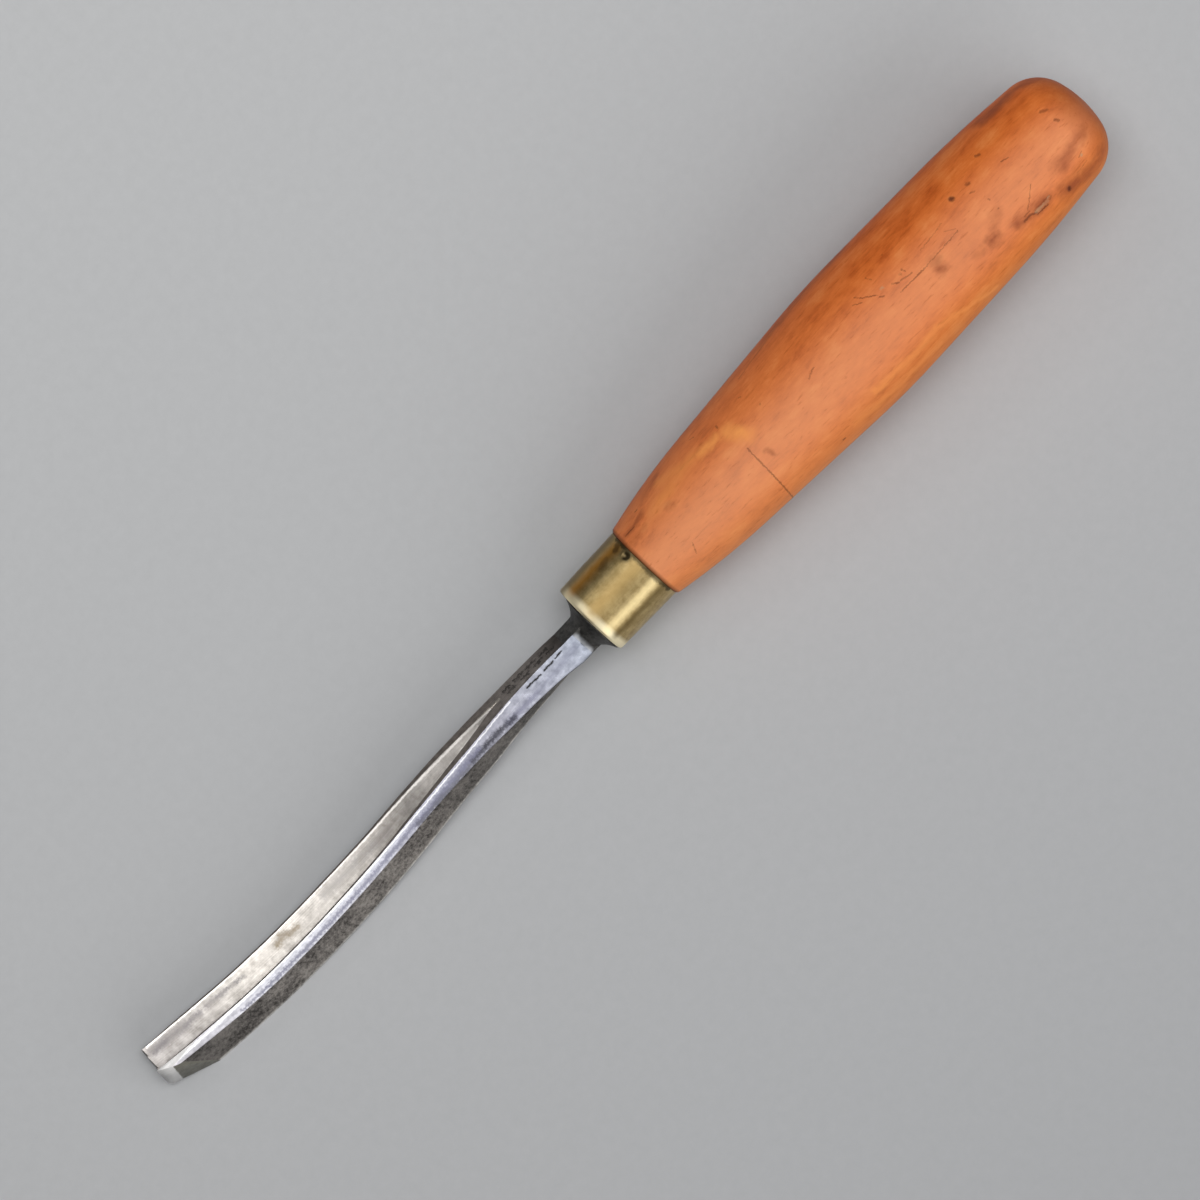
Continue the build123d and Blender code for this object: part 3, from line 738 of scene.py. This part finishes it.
def oiledBoxwood():
    # Boxwood, turned, oiled and rubbed by the hand: warm orange-brown, fine straight grain, soft sheen, a
    # painted sheen band along the top, painted shade on one side, darker at the butt, and dirt and painted
    # shadow in the joint
    material, tree = newFinish("oiledBoxwood")
    place = addNode(tree, "TexCoord").outputs["Object"]
    uv = addNode(tree, "UVMap", uv_map="surfaceMm")
    noises = {}
    looks = {"pores": {"Detail": 4.0, "Roughness": 0.6}, "figure": {"Detail": 3.0, "Distortion": 0.6},
             "cloud": {"Detail": 5.0, "Roughness": 0.6}}
    for kind, look in looks.items():
        scale = tuple(1000 / size for size in boxwood[kind])
        drawn = addNode(tree, "Mapping", {"Vector": place, "Scale": scale})
        noises[kind] = addNode(tree, "TexNoise", {"Vector": drawn, "Scale": 1.0, **look})
    grain, cloud = noises["pores"], noises["cloud"]
    straight = addNode(tree, "Mix", {"Factor": 0.45, 2: noises["figure"], 3: grain})
    whole = addNode(tree, "Mix", {"Factor": 0.5, 2: straight, 3: cloud})
    ramp = addNode(tree, "ValToRGB", {"Fac": whole}, stops=boxwood["tones"])
    split = addNode(tree, "SeparateXYZ", {"Vector": uv})
    # painted shade round the handle
    acrossTop = addNode(tree, "MapRange", {
        "Value": split.outputs[1], "From Min": -boxwood["roundReach"], "From Max": boxwood["roundReach"]})
    shade = addNode(tree, "ValToRGB", {"Fac": acrossTop}, stops=boxwood["roundTones"])
    colour = addNode(tree, "Mix", {"Factor": 1.0, 6: ramp, 7: shade}, data_type="RGBA",
                     blend_type="MULTIPLY").outputs[2]
    # distance from the middle of the painted sheen band
    away = addNode(tree, "Math", {0: split.outputs[1], 1: boxwood["sheenPlace"]}, operation="ADD")
    follows = {"along": split.outputs[0], "round": split.outputs[1], "pores": grain,
               "sheenBand": addNode(tree, "Math", {0: away}, operation="ABSOLUTE")}
    for kind, start, full, strength, code in boxwood["washes"]:
        wash = addNode(tree, "MapRange", {
            "Value": follows[kind], "From Min": start, "From Max": full, "To Max": strength},
            interpolation_type="SMOOTHSTEP" if kind == "sheenBand" else "LINEAR")
        colour = laidOver(tree, colour, [(wash, code)])
    ragged = shaken(tree, uv, 0.45, 0.6)
    softly = shaken(tree, uv, 2.5, 2.5)
    broken = addNode(tree, "MapRange", {"Value": grain, "From Min": 0.62, "From Max": 0.42,
                                                  "To Min": 0.4})
    patchy = addNode(tree, "MapRange", {"Value": cloud, "From Min": 0.62, "From Max": 0.4,
                                                  "To Min": 0.5})
    height = grain
    for kind, (code, marks) in handleMarks.items():
        soft = kind in ("yellow", "stains")
        mask = markMask(tree, softly if soft else ragged, marks, 0.0 if soft else 0.2)
        if kind == "dents":
            height = addNode(tree, "Math", {0: mask, 1: -3.0, 2: grain}, operation="MULTIPLY_ADD")
        else:
            mask = addNode(tree, "Math", {0: mask, 1: patchy if soft else broken}, operation="MULTIPLY")
        colour = laidOver(tree, colour, [(mask, code)])
    bump = addNode(tree, "Bump", {"Height": height, "Strength": 0.12, "Distance": 0.0001})
    shaded(tree, {"Base Color": colour, "Roughness": boxwood["roughness"], "Normal": bump,
                  "Specular IOR Level": boxwood["shine"]})
    return material


# Marks on the steel come in groups: colour, how whole they are, and for each its places, half width, strength
polishedChannel = {
    "light": "#eeeae6", "dark": "#b4afaa", "roughness": 0.36, "mottle": 0.16, "patchShare": 0.65,
    "metal": 0.75,    # rubbed dull, so less than bare metal
    # the fade is painted reflection: light and shade along the channel
    "fade": [(-127, "#cccaca"), (-117, "#c6c4c3"), (-100, "#fcfaf6"), (-76, "#fffdfa"), (-66, "#dad7d4"),
             (-58, "#b8b6b4"), (-51, "#e6e4e2"), (-45, "#e6e4e2"), (-39, "#fffdfa"), (-33, "#f4f2f0")],
    "marks": [
        ("#fffaf4", 1, [    # painted highlight along the channel's rim and the edges where it runs out
            *throughPlaces([
                (-126.0, 5.2, 0.32, 0.8), (-114.7, 4.0, 0.32, 0.8), (-102.7, 2.8, 0.32, 0.8),
                (-90.9, 2.3, 0.32, 0.8), (-68.1, 2.3, 0.36, 0.9), (-56.1, 2.6, 0.4, 1.0),
                (-44.2, 2.4, 0.4, 1.0)], (-33.6, 2.2)),
            *throughPlaces([(-51.3, -0.3, 0.4, 0.7), (-44.2, 0.5, 0.4, 0.8)], (-37.6, 1.5))]),
        ("#6f6b6c", 0.2, [    # grey shade along the floor
            *throughPlaces([(-125.6, 3.6, 1.7, 0.9), (-122.2, 3.4, 1.6, 0.8)], (-117.6, 2.6)),
            (-117.6, 2.7, -114.2, 2.4, 1.1, 0.8),
            *throughPlaces([(-112.3, 2.3, 1.2, 0.8), (-108.1, 1.8, 0.7, 0.8)], (-103.3, 1.0)),
            *throughPlaces([(-81.4, 0.6, 1.8, 0.45), (-73.8, 0.4, 1.8, 0.5)], (-64.0, 0.2))]),
        ("#7d6d52", 0.4, [    # brown spots
            (-94.6, 0.6, -92.5, 0.9, 1.3, 0.9), (-92.9, 1.4, -91.3, 0.3, 1.2, 1.0),
            (-91.5, 0.1, -89.4, 0.2, 1.2, 0.8)])],
}
groundSides = {
    "light": "#dedee4", "dark": "#a6a6ae", "roughness": 0.3, "mottle": 0.2, "patchShare": 0.7, "metal": 1.0,
    # the fade is painted reflection: the side is lighter and darker along the blade as it reflects the lamps
    "fade": [(-128, "#e4e0de"), (-100, "#ffffff"), (-85, "#ffffff"), (-70, "#f4f4f6"), (-55, "#d2d2d8"),
             (-45, "#c8c8ce"), (-33, "#bebec4"), (-22, "#c8cbd1"), (-12, "#bcc2ca")],
    "marks": [
        ("#ffffff", 1, throughPlaces([    # painted highlight along the edge towards the open side
            (-124.5, -0.7, 0.4, 0.9), (-114.7, -1.4, 0.5, 0.9), (-102.7, -2.1, 0.5, 0.9),
            (-90.9, -2.4, 0.4, 0.9), (-76.6, -2.45, 0.28, 0.75), (-68.1, -2.1, 0.24, 0.65),
            (-56.6, -1.55, 0.24, 0.6), (-45.2, -0.85, 0.25, 0.55)], (-30.0, 0.3))),
        ("#5c5c70", 0.7, [    # painted reflection: a darker blue-grey band along the middle
            *throughPlaces([
                (-108.1, -3.2, 0.5, 0.7), (-102.7, -3.6, 0.7, 0.8), (-90.9, -3.9, 0.8, 0.8)], (-76.6, -3.8)),
            (-76.6, -3.7, -68.1, -3.3, 0.9, 0.75),
            *throughPlaces([
                (-68.1, -3.2, 1.0, 0.75), (-60.8, -2.8, 1.1, 0.75), (-53.8, -2.4, 1.2, 0.75),
                (-46.5, -2.0, 1.2, 0.8)], (-40.6, -1.7)),
            *throughPlaces([(-33.0, -2.3, 1.2, 0.6), (-25.0, -2.3, 1.6, 0.35)], (-14.0, -1.6))]),
        ("#26252c", 0.75, [    # a dark hollow that the grinding missed
            *throughPlaces([(-43.2, -2.5, 0.9, 0.8), (-37.2, -2.15, 0.9, 0.8)], (-31.4, -2.4)),
            (-39.6, -2.2, -35.2, -2.15, 1.2, 0.9), (-59.0, -3.2, -43.0, -2.7, 0.9, 0.6)]),
        ("#14120f", 1, [    # black nicks near the bolster
            (-25.8, -0.2, -22.2, -0.4, 0.34, 1.0), (-21.2, -0.35, -18.7, -0.3, 0.3, 1.0),
            (-18.0, -0.25, -16.2, -0.2, 0.3, 1.0), (-12.0, -2.6, -11.6, -1.6, 0.5, 0.6),
            (-12.2, 0.2, -11.8, -0.6, 0.5, 0.6)])],
}
rubbedTop = {
    "light": "#b4aba4", "dark": "#5d5652", "roughness": 0.36, "mottle": 0.24, "patchShare": 0.6, "metal": 1.0,
    "fade": [(-60, "#e8e4e0"), (-40, "#ece8e4"), (-26, "#ffffff"), (-21, "#f4f4f4"), (-18, "#c0bebc"),
             (-15.4, "#8a8886"), (-10, "#7c7a78")],
    "marks": [
        # painted highlight along the rim where the channel runs out
        ("#fff6e8", 1, throughPlaces([(-44.2, 2.4, 0.4, 0.9), (-33.6, 2.2, 0.3, 0.5)], (-31.0, 2.1))),
        ("#1b1917", 0.5, [    # two rows of pits
            (-29.6, 2.5, -27.6, 2.4, 0.4, 0.9), (-29.0, 1.8, -27.0, 1.7, 0.35, 0.8),
            (-26.6, 2.5, -24.4, 2.4, 0.4, 0.9), (-25.6, 1.7, -23.4, 1.6, 0.35, 0.8),
            (-23.2, 2.4, -21.0, 2.3, 0.4, 0.9), (-21.8, 1.6, -19.6, 1.6, 0.35, 0.8),
            (-19.8, 2.3, -17.8, 2.2, 0.4, 0.9), (-18.6, 1.5, -16.6, 1.5, 0.35, 0.8)])],
}
forgedSlopes = {"light": "#aaa39c", "dark": "#38322d", "metal": 0.6, "grain": 0.8, "rim": "#dcd9d4"}
bevelGrey = {
    "light": "#8a877a", "dark": "#605d54", "roughness": 0.42, "mottle": 0.2, "patchShare": 0.6, "metal": 0.3,
    "core": 0.8, "marks": [("#eeecea", 1, [(-126.2, -0.8, -127.0, -3.9, 1.6, 1.0)])],    # its honed end
}
honedEdge = {
    "light": "#f4f2f0", "dark": "#dcdad8", "roughness": 0.4, "mottle": 0.2, "patchShare": 0.6, "metal": 0.1,
}
blackBolster = {
    "light": "#6e6c68", "dark": "#2c2b2a", "metal": 0.5, "grain": 0.9,
    "marks": [("#b4b6ba", [(-12.4, -0.4, -12.4, -3.9, 1.1, 1.0)])],    # where the ground side fades out
}
bladeFinishes = [
    groundSteel("polishedChannel", polishedChannel), groundSteel("groundSides", groundSides),
    scaleSteel("forgedSlopes", forgedSlopes), groundSteel("rubbedTop", rubbedTop),
    groundSteel("bevelGrey", bevelGrey), groundSteel("honedEdge", honedEdge),
    scaleSteel("blackBolster", blackBolster)]
makeBlade(bladeFinishes)
makeFerrule([tarnishedBrass()])
makeHandle([oiledBoxwood()])

# Grey table top, painted and rubbed: pale grey, with painted light that makes it a little brighter on the far
# side
tableTop = {
    # near and far are painted light: darker near, brighter far along "towards"
    "size": 6.0, "near": "#a9aaac", "far": "#c3c4c5", "reach": 0.16, "towards": (0.04, 0.999, 0),    # m
    "speckle": "#6f7072", "speckleShare": 0.07, "grain": 2.381,    # mm
}


def makeTable():
    # One square face under the tool, whose colour turns from near to far along one direction as painted light
    mesh = bpy.data.meshes.new("tableTop")
    half = tableTop["size"] / 2
    corners = [(-half, -half, 0), (half, -half, 0), (half, half, 0), (-half, half, 0)]
    mesh.from_pydata(corners, [], [(0, 1, 2, 3)])
    piece = bpy.data.objects.new("tableTop", mesh)
    scene.collection.objects.link(piece)
    material, tree = newFinish("paintedTable")
    place = addNode(tree, "TexCoord").outputs["Object"]
    across = addNode(tree, "VectorMath", {0: place, 1: tableTop["towards"]}, operation="DOT_PRODUCT")
    far = addNode(tree, "MapRange", {
        "Value": across.outputs["Value"], "From Min": -tableTop["reach"], "From Max": tableTop["reach"]})
    paint = addNode(tree, "TexNoise", {"Vector": place, "Scale": 1000 / tableTop["grain"], "Detail": 5.0,
                                                 "Roughness": 0.7})
    speckle = addNode(tree, "MapRange", {"Value": paint, "From Min": 0.3, "From Max": 0.7,
                                                   "To Max": tableTop["speckleShare"]})
    colour = laidOver(tree, tableTop["near"], [(far, tableTop["far"]), (speckle, tableTop["speckle"])])
    shaded(tree, {"Base Color": colour, "Roughness": 0.6})
    mesh.materials.append(material)
    print("table ready")


makeTable()

# Camera, straight above, and soft light
# Metres: place, width of the picture, and the height at which that width holds; degrees: turn
view = {"place": (-0.00407, 0.00120, 1.8), "turn": -46.49, "width": 0.22836, "level": 0.01415}
lens = bpy.data.cameras.new("overhead")
lens.sensor_width = 36
lens.lens = 36 * (view["place"][2] - view["level"]) / view["width"]
lens.clip_end = 50
camera = bpy.data.objects.new("overhead", lens)
camera.location = view["place"]
camera.rotation_euler = (0, 0, math.radians(view["turn"]))
scene.collection.objects.link(camera)
scene.camera = camera

# Each lamp: place in metres, width and length, watts
lamps = {
    "overheadSoft": {"place": (0.12, 0.2, 1.5), "size": (1.2, 0.8), "power": 8.6},
    "ceiling": {"place": (0.45, 0.0, 1.6), "size": (2.0, 2.2), "power": 12.6},
    "windowSide": {"place": (0.25, -1.34, 0.87), "size": (2.0, 1.0), "power": 12.0},
    "farSide": {"place": (0.0, 1.18, 1.36), "size": (0.45, 0.3), "power": 1.6},
}
for name, lamp in lamps.items():
    light = bpy.data.lights.new(name, "AREA")
    light.shape = "RECTANGLE"
    light.size, light.size_y = lamp["size"]
    light.energy = lamp["power"]
    glow = bpy.data.objects.new(name, light)
    glow.location = lamp["place"]
    glow.rotation_euler = (-Vector(lamp["place"])).to_track_quat("-Z", "Y").to_euler()
    glow.visible_camera = False
    scene.collection.objects.link(glow)
world = bpy.data.worlds.new("softRoom")
world.use_nodes = True
world.node_tree.nodes["Background"].inputs["Color"].default_value = linear("#f4f6f8")
world.node_tree.nodes["Background"].inputs["Strength"].default_value = 0.06
scene.world = world
scene.view_settings.view_transform = "Standard"
print("camera and light ready")
